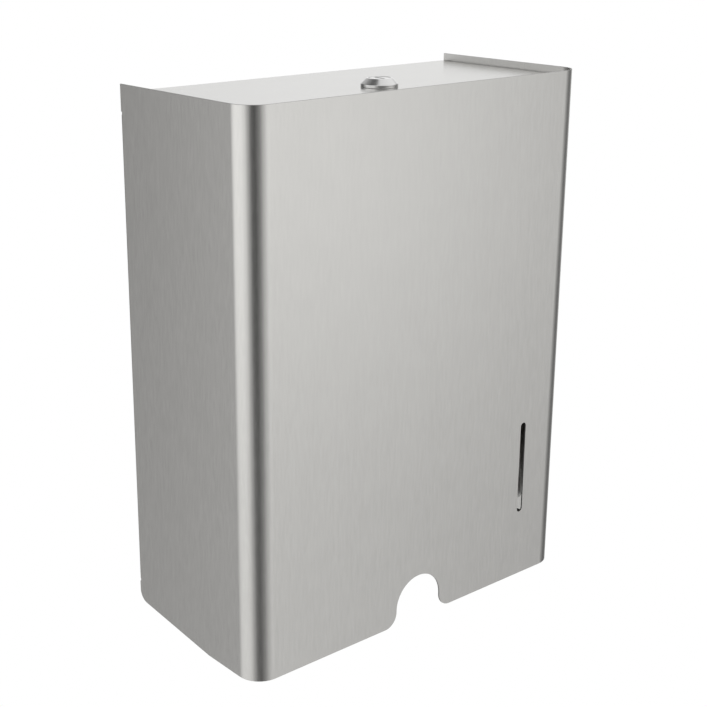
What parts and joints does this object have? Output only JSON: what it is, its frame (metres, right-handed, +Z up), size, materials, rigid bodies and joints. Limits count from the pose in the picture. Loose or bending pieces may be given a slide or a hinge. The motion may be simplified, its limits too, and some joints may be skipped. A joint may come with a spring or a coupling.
{
  "type": "z-fold paper towel dispenser",
  "caption": "Wall-mounted sheet steel dispenser for z-fold paper towels, with a locked cover that swings forward on low hinges and an open bottom that towels are pulled from.",
  "frame": {"origin": "on the wall plane, at the centre of the four wall screw holes", "axes": "+X to the right seen from the room, +Y into the wall, +Z up"},
  "size_m": [0.28, 0.1315, 0.3607],
  "materials": {
    "brushed_sheet": "fine satin grain, 1 mm stainless sheet",
    "inner_sheet": "mill finish stainless sheet",
    "hardware": "turned stainless steel",
    "clip_steel": "phosphated spring steel",
    "lock_chrome": "chromed zinc casting",
    "cam_steel": "zinc plated steel",
    "bush_nylon": "natural nylon"
  },
  "bodies": {
    "chassis": {"back_top_sheet": "brushed_sheet", "left_cheek": "inner_sheet", "right_cheek": "inner_sheet", "towel_tray": "inner_sheet", "left_hinge_pin": "hardware", "right_hinge_pin": "hardware", "left_hinge_washer": "hardware", "right_hinge_washer": "hardware", "left_hinge_clip": "clip_steel", "right_hinge_clip": "clip_steel", "lock_barrel": "lock_chrome", "lock_washer": "hardware", "lock_nut": "lock_chrome"},
    "cover": {"cover_shell": "brushed_sheet", "left_hinge_ear": "inner_sheet", "right_hinge_ear": "inner_sheet", "left_hinge_bush": "bush_nylon", "right_hinge_bush": "bush_nylon", "lock_keeper": "inner_sheet"},
    "plug": {"lock_plug": "lock_chrome", "lock_cam": "cam_steel", "cam_washer": "hardware", "cam_screw": "hardware"}
  },
  "joints": [
    {"name": "cover_hinge", "type": "hinge", "parent": "chassis", "child": "cover", "pos_m": [0, -0.0135, -0.172], "axis": [1, 0, 0], "range_deg": [0, 80]},
    {"name": "lock_turn", "type": "hinge", "parent": "chassis", "child": "plug", "pos_m": [0, -0.0845, 0.165], "axis": [0, 0, -1], "range_deg": [0, 90]}
  ]
}
